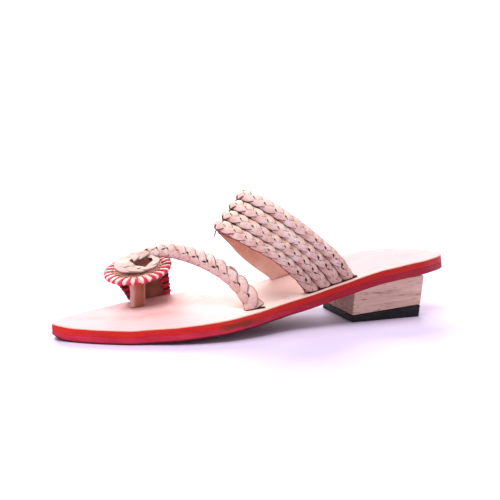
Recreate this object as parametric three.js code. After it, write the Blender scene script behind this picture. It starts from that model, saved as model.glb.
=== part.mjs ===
// Kolhapuri sandal for the left foot: two sole leathers on a low wooden heel, four plaits
// side by side over the instep, and one plait that runs from the outer edge across the
// toes and coils up on a round medallion above the big-toe loop.
// Millimetres. +X to the toe, +Y to the outer (lateral) side, +Z up, floor at z = 0.
import * as THREE from "three";

const SOLE_LENGTH = 255;
const SOLE_LAYER = 4.3;
const TIP_HALF_WIDTH = 1.2;
const OUTLINE_ROUNDNESS = 1.6;
const GAP = 0.3;

// The heel's foot, and how far its breast and back lean to the rear and its sides lean outwards
// by the height of the sole.
const HEEL = {
  front: -56.4, rear: -102.8, outer: 23.9, inner: -21.5, rake: 1.6, flareRear: 2.6, flareSide: 1.4,
};
const LIFT_FRONT = 4.5;
const LIFT_REAR = 8.0;

const BRAID_COUNT = 4;
const BRAID_THICKNESS = 4.8;
const LINING_THICKNESS = 1.6;
const LOOP_THICKNESS = 2.0;
const LOOP_WALL_SETBACK = 1.6;
const COIL_THICKNESS = 3.8;

const MEDALLION = {
  x: 64.4, y: -33, z: 33, halfLength: 21.3, halfWidth: 19, thickness: 2.8,
  slopeX: -0.188, slopeY: -0.21, curl: 0.006,
};

// Share of the band trimmed off each edge of its lining, and of its length settled on the bed.
const LINING_TRIM = 0.02;
const BASE_SHARE = 0.1;

const SOLE_STATIONS = 54;
const HEEL_STEPS = 12;
const BAND_STEPS = 38;
const LOOP_STEPS = 40;
const RIBBON_COLUMNS = 4;
const STEPS_PER_ROW = 4;
const PLAIT_SIDES = 10;
const PLAIT_SQUARENESS = 0.8;
const MEDALLION_SECTORS = 44;
const FRAME_STEP = 0.005;

const FOOTBED_LEATHER = { color: "#ecd2c4", roughness: 0.6 };
const DYED_LEATHER = { color: "#b5304a", roughness: 0.6 };
const PLAIT_LEATHER = { color: "#dcb7a0", roughness: 0.75 };
const LINING_LEATHER = { color: "#b9825f", roughness: 0.85 };
const LOOP_LEATHER = { color: "#a9553f", roughness: 0.75 };
const MEDALLION_LEATHER = { color: "#d8a08c", roughness: 0.75 };
const WOOD = { color: "#d9b79c", roughness: 0.7 };
const RUBBER = { color: "#17151a", roughness: 0.85 };

// Sole sections from the heel end: distance, outer edge, inner edge, height of the underside.
const SOLE_SECTIONS = [
  { at: 0, outer: 3.0, inner: 3.0, under: 27.0 },
  { at: 12, outer: 18.5, inner: -16.0, under: 27.2 },
  { at: 25, outer: 25.0, inner: -23.5, under: 26.8 },
  { at: 50, outer: 30.6, inner: -26.0, under: 24.9 },
  { at: 80, outer: 30.2, inner: -27.2, under: 17.8 },
  { at: 110, outer: 30.4, inner: -29.7, under: 10.7 },
  { at: 140, outer: 39.5, inner: -38.5, under: 6.8 },
  { at: 165, outer: 43.5, inner: -43.5, under: 4.1 },
  { at: 185, outer: 41.0, inner: -42.0, under: 2.4 },
  { at: 205, outer: 33.6, inner: -38.8, under: 0.8 },
  { at: 216, outer: 29.5, inner: -35.6, under: 0.0 },
  { at: 244, outer: 11.7, inner: -17.6, under: 0.0 },
  { at: 255, outer: -1.3, inner: -1.3, under: 1.0 },
];

// Instep band, a row for each station from the outer base over the top to the inner base:
// its front edge and its rear edge. The two base rows take their height from the footbed.
const BAND_ROWS = [
  { front: [-25.8, 25.5, 0], rear: [-57.6, 25.5, 0] },
  { front: [-17.5, 25.2, 31.0], rear: [-49.5, 25.1, 41.8] },
  { front: [-5.0, 22.3, 42.8], rear: [-36.0, 23.1, 54.8] },
  { front: [9.0, 17.8, 51.2], rear: [-21.0, 19.1, 67.6] },
  { front: [19.8, 10.5, 57.6], rear: [-7.4, 12.0, 77.8] },
  { front: [24.6, 0.0, 60.4], rear: [2.4, 0.0, 83.2] },
  { front: [19.4, -13.0, 57.0], rear: [1.2, -13.5, 80.4] },
  { front: [9.0, -21.2, 48.4], rear: [-10.0, -21.8, 71.0] },
  { front: [-3.6, -26.0, 36.3], rear: [-26.5, -26.2, 56.0] },
  { front: [-16.0, -27.6, 26.3], rear: [-45.0, -27.2, 39.5] },
  { front: [-23.9, -27.6, 0], rear: [-56.0, -26.6, 0] },
];

// Plait across the toes: centre of each section, the way its face looks, width and thickness.
// The first row stands on the footbed and takes its height from it.
const TOE_STRAP_ROWS = [
  { at: [11.0, 31.0, 0], face: [0.12, 0.98, 0.05], width: 13.6, thick: 6.4 },
  { at: [11.8, 29.6, 19.5], face: [0.14, 0.95, 0.2], width: 11.6, thick: 5.6 },
  { at: [14.2, 24.8, 25.0], face: [0.15, 0.9, 0.35], width: 11.0, thick: 5.2 },
  { at: [17.6, 18.9, 30.2], face: [0.18, 0.86, 0.45], width: 10.8, thick: 5.0 },
  { at: [22.2, 11.3, 35.2], face: [0.2, 0.8, 0.55], width: 10.6, thick: 5.0 },
  { at: [28.2, 2.0, 39.5], face: [0.2, 0.72, 0.65], width: 10.4, thick: 5.0 },
  { at: [35.0, -8.3, 42.6], face: [0.2, 0.66, 0.72], width: 10.2, thick: 4.8 },
  { at: [42.0, -18.8, 44.3], face: [0.2, 0.6, 0.78], width: 9.8, thick: 4.6 },
  { at: [49.4, -29.2, 44.2], face: [0.15, 0.5, 0.85], width: 9.4, thick: 4.4 },
  { at: [55.6, -36.4, 42.0], face: [0.1, 0.35, 0.93], width: 9.2, thick: 4.2 },
];

// Coil on the medallion: the plait's middle from the medallion's own middle, its height above
// the medallion, its width, and the way its face looks.
const COIL_ROWS = [
  { x: -4.7, y: -5.7, height: 4.8, width: 9.2, face: [0.12, 0.3, 0.94] },
  { x: 1.1, y: -5.6, height: 4.2, width: 9.6, face: [0.2, 0.34, 0.91] },
  { x: 6.2, y: -3.0, height: 3.8, width: 10.2, face: [0.32, 0.4, 0.86] },
  { x: 7.5, y: 2.0, height: 3.4, width: 10.0, face: [0.34, 0.36, 0.87] },
  { x: 5.1, y: 7.0, height: 3.0, width: 9.4, face: [0.25, 0.28, 0.93] },
  { x: 0.1, y: 9.8, height: 3.0, width: 8.6, face: [0.19, 0.21, 0.96] },
  { x: -5.0, y: 10.6, height: 3.4, width: 7.6, face: [0.19, 0.21, 0.96] },
  { x: -9.2, y: 8.0, height: 3.8, width: 6.2, face: [0.19, 0.21, 0.96] },
  { x: -9.8, y: 4.2, height: 4.2, width: 5.2, face: [0.19, 0.21, 0.96] },
  { x: -7.8, y: 1.8, height: 4.4, width: 4.4, face: [0.19, 0.21, 0.96] },
];

// Medallion from the middle of its face over the rim to the middle of its back: share of the
// radius, and share of the thickness below the face.
const MEDALLION_PROFILE = [
  { share: 0.06, drop: 0 },
  { share: 0.4, drop: 0 },
  { share: 0.7, drop: 0 },
  { share: 0.92, drop: 0 },
  { share: 1, drop: 0.5 },
  { share: 0.92, drop: 1 },
  { share: 0.6, drop: 1 },
  { share: 0.06, drop: 1 },
];

// Toe loop, a row for each fold from the inner edge over the toe to the post: its middle line
// (y), its height from footbed (0) to the underside of the medallion (1), and its two edges.
const LOOP_ROWS = [
  { y: -40.6, rise: 0, rear: 41.0, front: 67.6 },
  { y: -42.0, rise: 0.35, rear: 41.5, front: 71.2 },
  { y: -42.4, rise: 0.75, rear: 42.4, front: 75.8 },
  { y: -40.0, rise: 0.97, rear: 45.0, front: 76.4 },
  { y: -36.0, rise: 1.0, rear: 50.0, front: 75.6 },
  { y: -28.0, rise: 1.0, rear: 59.5, front: 73.2 },
  { y: -24.4, rise: 0.97, rear: 62.4, front: 72.6 },
  { y: -22.9, rise: 0.8, rear: 63.2, front: 72.4 },
  { y: -22.6, rise: 0, rear: 63.4, front: 72.6 },
];

const vec = (values) => new THREE.Vector3(...values);
const mix = THREE.MathUtils.lerp;

// Smooth value of one column at a distance along the sole, with no overshoot between rows.
function column(rows, key, pick) {
  const x = rows.map((row) => row[key]);
  const y = rows.map(pick);
  const last = x.length - 1;
  const rise = (i) => (y[i + 1] - y[i]) / (x[i + 1] - x[i]);
  const slope = y.map((_, i) => {
    if (i === 0) return rise(0);
    if (i === last) return rise(last - 1);
    const product = rise(i - 1) * rise(i);
    return product <= 0 ? 0 : (2 * product) / (rise(i - 1) + rise(i));
  });
  return (at) => {
    const t = THREE.MathUtils.clamp(at, x[0], x[last]);
    let i = 0;
    while (i < last - 1 && t > x[i + 1]) i += 1;
    const h = x[i + 1] - x[i];
    const k = (t - x[i]) / h;
    const start = y[i] * (1 + 2 * k) * (1 - k) ** 2 + slope[i] * h * k * (1 - k) ** 2;
    return start + y[i + 1] * k * k * (3 - 2 * k) - slope[i + 1] * h * k * k * (1 - k);
  };
}

const soleMiddle = column(SOLE_SECTIONS, "at", (row) => (row.outer + row.inner) / 2);
const soleHalfPower = column(SOLE_SECTIONS, "at",
  (row) => ((row.outer - row.inner) / 2) ** OUTLINE_ROUNDNESS);
const soleUnder = column(SOLE_SECTIONS, "at", (row) => row.under);

function soleHalf(at) {
  return Math.max(Math.max(soleHalfPower(at), 0) ** (1 / OUTLINE_ROUNDNESS), TIP_HALF_WIDTH);
}

const alongSole = (x) => x + SOLE_LENGTH / 2;
const underside = (x) => soleUnder(alongSole(x));
const footbed = (x) => underside(x) + 2 * SOLE_LAYER + GAP;
const footbedSlope = (x) => (footbed(x + 0.5) - footbed(x - 0.5));

// Closed body through rings of points. Each ring runs out along one side and back along the
// other, so its end is closed by a strip of quads between the two.
function loft(name, rings, finish) {
  const count = rings[0].length;
  const positions = rings.flat().flatMap((point) => point.toArray());
  const faces = [];
  const quad = (a, b, c, d) => faces.push([a, b, c], [a, c, d]);
  for (let i = 0; i < rings.length - 1; i += 1) {
    for (let j = 0; j < count; j += 1) {
      const k = (j + 1) % count;
      quad(i * count + j, i * count + k, (i + 1) * count + k, (i + 1) * count + j);
    }
  }
  const top = (rings.length - 1) * count;
  for (let j = 0; j < count / 2 - 1; j += 1) {
    quad(count - 1 - j, count - 2 - j, j + 1, j);
    quad(top + j, top + j + 1, top + count - 2 - j, top + count - 1 - j);
  }
  const corner = (face, n) => new THREE.Vector3().fromArray(positions, 3 * face[n]);
  const volume = faces.reduce(
    (sum, face) => sum + corner(face, 0).dot(corner(face, 1).cross(corner(face, 2))), 0);
  const index = volume > 0 ? faces.flat() : faces.map((face) => [...face].reverse()).flat();
  const geometry = new THREE.BufferGeometry();
  geometry.setAttribute("position", new THREE.Float32BufferAttribute(positions, 3));
  geometry.setIndex(index);
  geometry.computeVertexNormals();
  const mesh = new THREE.Mesh(geometry, new THREE.MeshStandardMaterial({ ...finish, metalness: 0 }));
  mesh.name = name;
  return mesh;
}

// One sole leather, from `low` to `high` above the underside. Stations crowd towards both tips.
function soleLayer(name, low, high, finish) {
  const rings = [];
  for (let i = 0; i <= SOLE_STATIONS; i += 1) {
    const at = (SOLE_LENGTH / 2) * (1 - Math.cos((Math.PI * i) / SOLE_STATIONS));
    const x = at - SOLE_LENGTH / 2;
    const inner = soleMiddle(at) - soleHalf(at);
    const outer = soleMiddle(at) + soleHalf(at);
    const floor = soleUnder(at);
    rings.push([
      new THREE.Vector3(x, inner, floor + low),
      new THREE.Vector3(x, outer, floor + low),
      new THREE.Vector3(x, outer, floor + high),
      new THREE.Vector3(x, inner, floor + high),
    ]);
  }
  return loft(name, rings, finish);
}

const heelShare = (x) => (x - HEEL.front) / (HEEL.rear - HEEL.front);
const liftTop = (x) => mix(LIFT_FRONT, LIFT_REAR, heelShare(x));

// Corners of the heel at a share of its length (0 breast, 1 back), between two surfaces. Breast
// and back lean to the rear and both sides outwards on the way up.
function heelRing(share, low, high) {
  const place = (side, pick) => {
    const guess = mix(HEEL.front, HEEL.rear, share);
    const z = pick(guess);
    const up = z / underside(HEEL.rear);
    const x = guess - mix(HEEL.rake, HEEL.flareRear, share) * up;
    const edge = side > 0 ? HEEL.outer : HEEL.inner;
    return new THREE.Vector3(x, edge + side * HEEL.flareSide * up, pick(x));
  };
  return [place(-1, low), place(1, low), place(1, high), place(-1, high)];
}

function heelBlock() {
  const rings = [];
  for (let i = 0; i <= HEEL_STEPS; i += 1) {
    rings.push(heelRing(i / HEEL_STEPS, liftTop, (x) => underside(x) - GAP));
  }
  return loft("heel_block", rings, WOOD);
}

function heelLift() {
  const top = (x) => liftTop(x) - GAP;
  return loft("heel_lift", [heelRing(0, () => 0, top), heelRing(1, () => 0, top)], RUBBER);
}

// Section of a plait: a flattened round, with its width along `across`.
function plaitRing(centre, across, outward, width, thick) {
  const ring = [];
  for (let i = 0; i < PLAIT_SIDES; i += 1) {
    const angle = (2 * Math.PI * (i + 0.5)) / PLAIT_SIDES;
    const c = Math.cos(angle);
    const s = Math.sin(angle);
    ring.push(centre.clone()
      .addScaledVector(across, (width / 2) * Math.sign(c) * Math.abs(c) ** PLAIT_SQUARENESS)
      .addScaledVector(outward, (thick / 2) * Math.sign(s) * Math.abs(s) ** PLAIT_SQUARENESS));
  }
  return ring;
}

const bandEdge = (key) => new THREE.CatmullRomCurve3(BAND_ROWS.map((row, i) => {
  const onBed = i === 0 || i === BAND_ROWS.length - 1;
  const [x, y, z] = row[key];
  return new THREE.Vector3(x, y, onBed ? footbed(x) + GAP : z);
}));
const bandFront = bandEdge("front");
const bandRear = bandEdge("rear");

// Point of the band's middle surface: share from front edge to rear edge, share round the arch.
// Near a base it settles on the curve of the footbed.
function bandPoint(share, round) {
  const point = bandFront.getPoint(round).lerp(bandRear.getPoint(round), share);
  const base = bandFront.getPoint(Math.round(round)).lerp(bandRear.getPoint(Math.round(round)), share);
  const settle = Math.max(0, 1 - Math.abs(round - Math.round(round)) / BASE_SHARE);
  point.z += settle * (footbed(base.x) + GAP - base.z);
  return point;
}

function bandFrame(share, round) {
  const centre = bandPoint(share, round);
  const ahead = bandPoint(share, Math.min(round + FRAME_STEP, 1));
  const behind = bandPoint(share, Math.max(round - FRAME_STEP, 0));
  const across = bandRear.getPoint(round).sub(bandFront.getPoint(round));
  const width = across.length();
  across.normalize();
  const outward = new THREE.Vector3().crossVectors(across, ahead.sub(behind)).normalize();
  return { centre, across, outward, width };
}

function braid(index) {
  const rings = [];
  for (let i = 0; i <= BAND_STEPS; i += 1) {
    const share = (index + 0.5) / BRAID_COUNT;
    const { centre, across, outward, width } = bandFrame(share, i / BAND_STEPS);
    rings.push(plaitRing(centre, across, outward, width / BRAID_COUNT - GAP, BRAID_THICKNESS));
  }
  return loft(`braid_${index + 1}`, rings, PLAIT_LEATHER);
}

function bandLining() {
  const inner = -BRAID_THICKNESS / 2 - GAP - LINING_THICKNESS;
  const rings = [];
  for (let i = 0; i <= BAND_STEPS; i += 1) {
    const row = (depth) => {
      const points = [];
      for (let j = 0; j <= RIBBON_COLUMNS; j += 1) {
        const share = mix(LINING_TRIM, 1 - LINING_TRIM, j / RIBBON_COLUMNS);
        const { centre, outward } = bandFrame(share, i / BAND_STEPS);
        points.push(centre.addScaledVector(outward, depth));
      }
      return points;
    };
    rings.push([...row(inner), ...row(inner + LINING_THICKNESS).reverse()]);
  }
  return loft("band_lining", rings, LINING_LEATHER);
}

const medallionTop = (x, y) => {
  const dx = x - MEDALLION.x;
  const dy = y - MEDALLION.y;
  const curl = MEDALLION.curl * Math.max(0, -dx - MEDALLION.halfLength / 2) ** 2;
  return MEDALLION.z + MEDALLION.slopeX * dx + MEDALLION.slopeY * dy + curl;
};

function medallion() {
  const rings = MEDALLION_PROFILE.map(({ share, drop }) => {
    const ring = [];
    for (let j = 0; j < MEDALLION_SECTORS; j += 1) {
      const angle = (2 * Math.PI * (j + 0.5)) / MEDALLION_SECTORS;
      const x = MEDALLION.x + MEDALLION.halfLength * share * Math.cos(angle);
      const y = MEDALLION.y + MEDALLION.halfWidth * share * Math.sin(angle);
      ring.push(new THREE.Vector3(x, y, medallionTop(x, y) - MEDALLION.thickness * drop));
    }
    return ring;
  });
  return loft("toe_medallion", rings, MEDALLION_LEATHER);
}

// The span's rows, then the coil's rows, as one list.
function toeStrapSections() {
  const span = TOE_STRAP_ROWS.map((row, i) => {
    const centre = vec(row.at);
    if (i === 0) centre.z = footbed(centre.x) + GAP;
    return { centre, face: vec(row.face), width: row.width, thick: row.thick };
  });
  const coil = COIL_ROWS.map((row) => {
    const x = MEDALLION.x + row.x;
    const y = MEDALLION.y + row.y;
    const centre = new THREE.Vector3(x, y, medallionTop(x, y) + row.height);
    return { centre, face: vec(row.face), width: row.width, thick: COIL_THICKNESS };
  });
  return [...span, ...coil];
}

function toeStrap() {
  const sections = toeStrapSections();
  const last = sections.length - 1;
  const path = new THREE.CatmullRomCurve3(sections.map((section) => section.centre));
  const steps = STEPS_PER_ROW * last;
  const up = new THREE.Vector3(0, 0, 1);
  const rings = [];
  for (let i = 0; i <= steps; i += 1) {
    const t = i / steps;
    const row = Math.min(Math.floor(t * last), last - 1);
    const k = t * last - row;
    const from = sections[row];
    const to = sections[row + 1];
    const along = path.getTangent(t);
    const face = from.face.clone().lerp(to.face, k);
    along.lerp(up, Math.max(0, 1 - t * last));
    const across = new THREE.Vector3().crossVectors(face, along).normalize();
    const outward = new THREE.Vector3().crossVectors(along, across).normalize();
    if (i === 0) across.z = footbedSlope(from.centre.x) * across.x;
    const width = mix(from.width, to.width, k);
    const thick = mix(from.thick, to.thick, k);
    rings.push(plaitRing(path.getPoint(t), across, outward, width, thick));
  }
  return loft("toe_strap", rings, PLAIT_LEATHER);
}

// The loop's middle line at one share of its width (0 rear edge, 1 front edge).
function loopLine(share) {
  const roof = (x, y) => medallionTop(x, y) - MEDALLION.thickness - GAP - LOOP_THICKNESS / 2;
  return new THREE.CatmullRomCurve3(LOOP_ROWS.map((row) => {
    const x = mix(row.rear, row.front, share);
    const edge = soleMiddle(alongSole(x)) - soleHalf(alongSole(x));
    const wallLimit = edge + LOOP_WALL_SETBACK - 2 * row.rise;
    const y = row.y < MEDALLION.y ? Math.max(row.y, wallLimit) : row.y;
    return new THREE.Vector3(x, y, mix(footbed(x) + GAP, roof(x, y), row.rise));
  }));
}

function toeLoop() {
  const lines = [];
  for (let j = 0; j <= RIBBON_COLUMNS; j += 1) lines.push(loopLine(j / RIBBON_COLUMNS));
  const rings = [];
  for (let i = 0; i <= LOOP_STEPS; i += 1) {
    const row = (side) => lines.map((line, j) => {
      const t = i / LOOP_STEPS;
      const across = lines[Math.min(j + 1, RIBBON_COLUMNS)].getPoint(t)
        .sub(lines[Math.max(j - 1, 0)].getPoint(t));
      const along = line.getTangent(t);
      const outward = new THREE.Vector3().crossVectors(across, along).normalize();
      if (i === 0 || i === LOOP_STEPS) outward.setZ(0).normalize();
      return line.getPoint(t).addScaledVector(outward, (side * LOOP_THICKNESS) / 2);
    });
    rings.push([...row(-1), ...row(1).reverse()]);
  }
  return loft("toe_loop", rings, LOOP_LEATHER);
}

const sandal = new THREE.Group();
const insoleLow = SOLE_LAYER + GAP;
sandal.add(soleLayer("outsole", 0, SOLE_LAYER, DYED_LEATHER));
sandal.add(soleLayer("insole", insoleLow, insoleLow + SOLE_LAYER, FOOTBED_LEATHER));
sandal.add(heelBlock());
sandal.add(heelLift());
for (let i = 0; i < BRAID_COUNT; i += 1) sandal.add(braid(i));
sandal.add(bandLining());
sandal.add(toeLoop());
sandal.add(medallion());
sandal.add(toeStrap());

// The origin is on the floor under the middle of the whole sandal's box.
const middle = new THREE.Box3().setFromObject(sandal).getCenter(new THREE.Vector3());
sandal.position.set(-middle.x, -middle.y, 0);

export default sandal;
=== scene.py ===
"""Kolhapuri sandal, left shoe: the looks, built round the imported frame.

Shapes are in the shoe's own millimetres (x to the toe, y to the outer side from the middle of the
sole's box, z up) until a mesh is made.
"""
import math

import bpy
import numpy as np
from mathutils import Matrix, Vector


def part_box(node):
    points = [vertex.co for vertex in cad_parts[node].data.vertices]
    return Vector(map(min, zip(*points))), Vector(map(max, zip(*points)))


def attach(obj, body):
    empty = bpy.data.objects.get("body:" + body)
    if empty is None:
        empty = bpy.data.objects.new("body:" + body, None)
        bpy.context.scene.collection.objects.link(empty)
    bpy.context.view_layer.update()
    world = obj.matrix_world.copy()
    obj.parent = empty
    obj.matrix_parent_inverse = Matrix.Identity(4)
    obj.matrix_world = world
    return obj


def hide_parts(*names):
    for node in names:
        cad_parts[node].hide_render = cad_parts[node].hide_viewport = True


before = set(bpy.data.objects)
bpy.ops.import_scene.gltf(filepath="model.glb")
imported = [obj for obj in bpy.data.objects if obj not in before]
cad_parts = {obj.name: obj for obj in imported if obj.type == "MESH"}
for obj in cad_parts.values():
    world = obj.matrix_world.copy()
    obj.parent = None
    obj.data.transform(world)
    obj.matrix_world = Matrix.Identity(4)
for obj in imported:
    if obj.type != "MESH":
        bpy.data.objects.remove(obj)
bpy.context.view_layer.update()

MM = 0.001
RNG = np.random.default_rng(7)

SOLE_LOW, SOLE_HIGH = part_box("outsole")
SHIFT = np.array([0.0, (SOLE_LOW[1] + SOLE_HIGH[1]) / 2 / MM, 0.0])

# ---- driving sizes, millimetres

SOLE_LENGTH = 255.0
SOLE_LAYER = 4.3
TIP_HALF_WIDTH = 1.2
OUTLINE_ROUNDNESS = 1.6
GAP = 0.3
SEAM_CORNER = 0.12
SKIN = 0.05

HEEL_FRONT, HEEL_REAR, HEEL_OUTER, HEEL_INNER = -56.4, -102.8, 23.9, -21.5
HEEL_RAKE, HEEL_FLARE_REAR, HEEL_FLARE_SIDE = 1.6, 2.6, 1.4
LIFT_FRONT, LIFT_REAR = 4.5, 8.0

BRAID_COUNT = 4
BRAID_THICKNESS = 4.8
LINING_THICKNESS = 1.6
LOOP_THICKNESS = 2.0

MEDALLION_AT = np.array([64.4, -33.0, 33.0])
MEDALLION_HALF = (21.3, 19.0)
MEDALLION_THICKNESS = 2.8
MEDALLION_SLOPE = (-0.188, -0.21)
MEDALLION_CURL = 0.006

INSTEP_PITCH = 22.6
FOOT_HEIGHT = 0.8

# A plait's strips: width as a share of the plait's, thickness, rise and fall, bend of the plait's
# edges, height over its middle line. The slit beside a strip's inner edge: length in radians of its
# turn, share of its half width where it starts. bare_back is 1 where the back stays pale.
INSTEP_FORM = {"strip": 0.5, "thick": 1.5, "lift": 0.62, "dome": 2.5, "proud": 1.1,
               "slit": 0.34, "slit_from": 0.5, "bare_back": 0.0}
TOE_FORM = {"strip": 0.5, "thick": 1.6, "lift": 0.72, "dome": 2.0, "proud": 1.0,
            "slit": 0.66, "slit_from": 0.35, "bare_back": 1.0}
# Where in its turn a strip has its slit, radians.
SLIT_TURN = 1.85

# Hand work: how far crossings stray, in radians, over these lengths; how much a strip's width
# sways, over this length; how near its ends an instep plait is looser.
STRAY, STRAY_LENGTHS = 0.05, (3.1, 5.7, 9.3)
SWAY, SWAY_LENGTH = 0.04, 4.1
SLACK_REACH = 38
BRAID_STARTS = (0.6, 2.1, 4.0, 5.3)
BRAID_OVERLAP = 0.15
STRIP_ROUNDNESS = 0.58

# The soles' rounded outer corners, the waves of their edges (size, length, start), and how far the
# heel end leans back at its foot.
OUTER_CORNER = 0.4
EDGE_WAVES = ((0.12, 7.3, 0.0), (0.1, 3.1, 1.0))
HEEL_END_LEAN = 1.3

# Distance from the heel end, outer edge, inner edge, height of the underside.
SOLE_SECTIONS = np.array([
    (0, 3.0, 3.0, 27.0),
    (12, 18.5, -16.0, 27.2),
    (25, 25.0, -23.5, 26.8),
    (50, 30.6, -26.0, 24.9),
    (80, 30.2, -27.2, 17.8),
    (110, 30.4, -29.7, 10.7),
    (140, 39.5, -38.5, 6.8),
    (165, 43.5, -43.5, 4.1),
    (185, 41.0, -42.0, 2.4),
    (205, 33.6, -38.8, 0.8),
    (216, 29.5, -35.6, 0.0),
    (244, 11.7, -17.6, 0.0),
    (255, -1.3, -1.3, 1.0),
])

# Front edge and rear edge of the instep band, outer base to inner base. Base heights follow
# from the footbed.
BAND_ROWS = np.array([
    [(-25.8, 25.5, 0), (-57.6, 25.5, 0)],
    [(-17.5, 25.2, 31.0), (-49.5, 25.1, 41.8)],
    [(-5.0, 22.3, 42.8), (-36.0, 23.1, 54.8)],
    [(9.0, 17.8, 51.2), (-21.0, 19.1, 67.6)],
    [(19.8, 10.5, 57.6), (-7.4, 12.0, 77.8)],
    [(24.6, 0.0, 60.4), (2.4, 0.0, 83.2)],
    [(19.4, -13.0, 57.0), (1.2, -13.5, 80.4)],
    [(9.0, -21.2, 48.4), (-10.0, -21.8, 71.0)],
    [(-3.6, -26.0, 36.3), (-26.5, -26.2, 56.0)],
    [(-16.0, -27.6, 26.3), (-45.0, -27.2, 39.5)],
    [(-23.9, -27.6, 0), (-56.0, -26.6, 0)],
])

# Plait across the toes: centre, the way its face looks, width.
TOE_STRAP_ROWS = [
    ((11.0, 31.0, 0), (0.12, 0.98, 0.05), 13.6),
    ((11.8, 29.6, 19.5), (0.14, 0.95, 0.2), 11.6),
    ((14.2, 24.8, 25.0), (0.15, 0.9, 0.35), 11.0),
    ((17.6, 18.9, 30.2), (0.18, 0.86, 0.45), 10.8),
    ((22.2, 11.3, 35.2), (0.2, 0.8, 0.55), 10.6),
    ((28.2, 2.0, 39.5), (0.2, 0.72, 0.65), 10.4),
    ((35.0, -8.3, 42.6), (0.2, 0.66, 0.72), 10.2),
    ((42.0, -18.8, 44.3), (0.2, 0.6, 0.78), 9.8),
    ((49.4, -29.2, 44.2), (0.15, 0.5, 0.85), 9.4),
    ((55.6, -36.4, 42.0), (0.1, 0.35, 0.93), 9.2),
]

# Coil on the medallion: place from its middle, height above it, width, the way the face looks.
COIL_ROWS = [
    (-4.7, -5.7, 4.8, 9.2, (0.12, 0.3, 0.94)),
    (1.1, -5.6, 4.2, 9.6, (0.2, 0.34, 0.91)),
    (6.2, -3.0, 3.8, 10.2, (0.32, 0.4, 0.86)),
    (7.5, 2.0, 3.4, 10.0, (0.34, 0.36, 0.87)),
    (5.1, 7.0, 3.0, 9.4, (0.25, 0.28, 0.93)),
    (0.1, 9.8, 3.0, 8.6, (0.19, 0.21, 0.96)),
    (-5.0, 10.6, 3.4, 7.6, (0.19, 0.21, 0.96)),
    (-9.2, 8.0, 3.8, 6.2, (0.19, 0.21, 0.96)),
    (-9.8, 4.2, 4.2, 5.2, (0.19, 0.21, 0.96)),
    (-7.8, 1.8, 4.4, 4.4, (0.19, 0.21, 0.96)),
]

# The toe plait: turn of its face to the outer side, in radians, about this share of its length and
# over this reach; how far its crossings sit to its lower edge; its pattern's length at distances.
STRAP_TWIST, TWIST_AT, TWIST_REACH = 0.6, 0.28, 0.22
STRAP_LEAN = 0.6
STRAP_PITCH = ((0, 30, 40), (29.0, 27.0, 24.0))
STRAP_SAMPLES = 800
COIL_START = len(TOE_STRAP_ROWS) / (len(TOE_STRAP_ROWS) + len(COIL_ROWS) - 1)
COIL_RELIEF = 0.45

# Pointed turn of the coil on the toe's side: share along the strap, reach of the change, how far
# it sticks out and stands up.
LEAF_AT, LEAF_SPREAD, LEAF_REACH, LEAF_LIFT = 0.68, 0.045, 3.4, 1.3

# The coil's outer turn lies lower and is narrower, about this share.
FRONT_AT, FRONT_SPREAD, FRONT_SINK, FRONT_TRIM = 0.81, 0.06, 1.7, 2.4

# Loose flap on the toe plait's upper edge, as samples of its line, and how far it stands off.
FLAP_ROWS = (167, 158, 148, 138)
FLAP_LIFT = np.array((0.2, 0.6, 0.6, 0.1))

# Medallion's section from the middle of its face to that of its back: share of the radius, rise.
MEDALLION_SECTION = (
    (0.02, 0), (0.3, 0), (0.45, 0.02), (0.55, 0.05), (0.62, 0.04), (0.7, 0.02), (0.78, 0), (0.9, -0.1),
    (0.955, -0.3), (0.97, -0.7), (0.97, -1.2), (0.95, -1.5), (0.85, -1.8), (0.72, -2.6), (0.5, -2.7),
    (0.02, -2.7),
)

# Rim stitches: red and cream pairs, and how wide each is along its path over the rim.
RIM_PAIRS = 25
RED_WIDTHS = (0.8, 1.1, 1.7, 2.3, 2.8, 3.4, 4.0, 4.0, 3.2)
CREAM_WIDTHS = (1.8, 2.5, 2.9, 2.8, 2.4, 1.8, 1.3, 1.1, 1.0)

# The toe loop's wall stands in from the sole's edge. Stitches along each edge of it, the share of
# the loop's length that they take, and its start.
LOOP_WALL_SETBACK = 1.6
LOOP_STITCHES, LOOP_STITCH_SHARE, LOOP_STITCH_START = 10, 0.3, 0.015

# Toe loop: middle line, height from footbed (0) to medallion (1), rear edge, front edge.
LOOP_ROWS = [
    (-40.6, 0.0, 41.0, 67.6),
    (-42.0, 0.35, 41.5, 71.2),
    (-42.4, 0.75, 42.4, 75.8),
    (-40.0, 0.97, 45.0, 76.4),
    (-36.0, 1.0, 50.0, 75.6),
    (-28.0, 1.0, 59.5, 73.2),
    (-24.4, 0.97, 62.4, 72.6),
    (-22.9, 0.8, 63.2, 72.4),
    (-22.6, 0.0, 63.4, 72.6),
]

# ---- curves


def mix(a, b, t):
    return a + (b - a) * t


def ramped(values):
    return np.clip(values, 0, 1)


def unit(vectors):
    vectors = np.asarray(vectors, float)
    return vectors / np.maximum(np.linalg.norm(vectors, axis=-1, keepdims=True), 1e-12)


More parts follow.
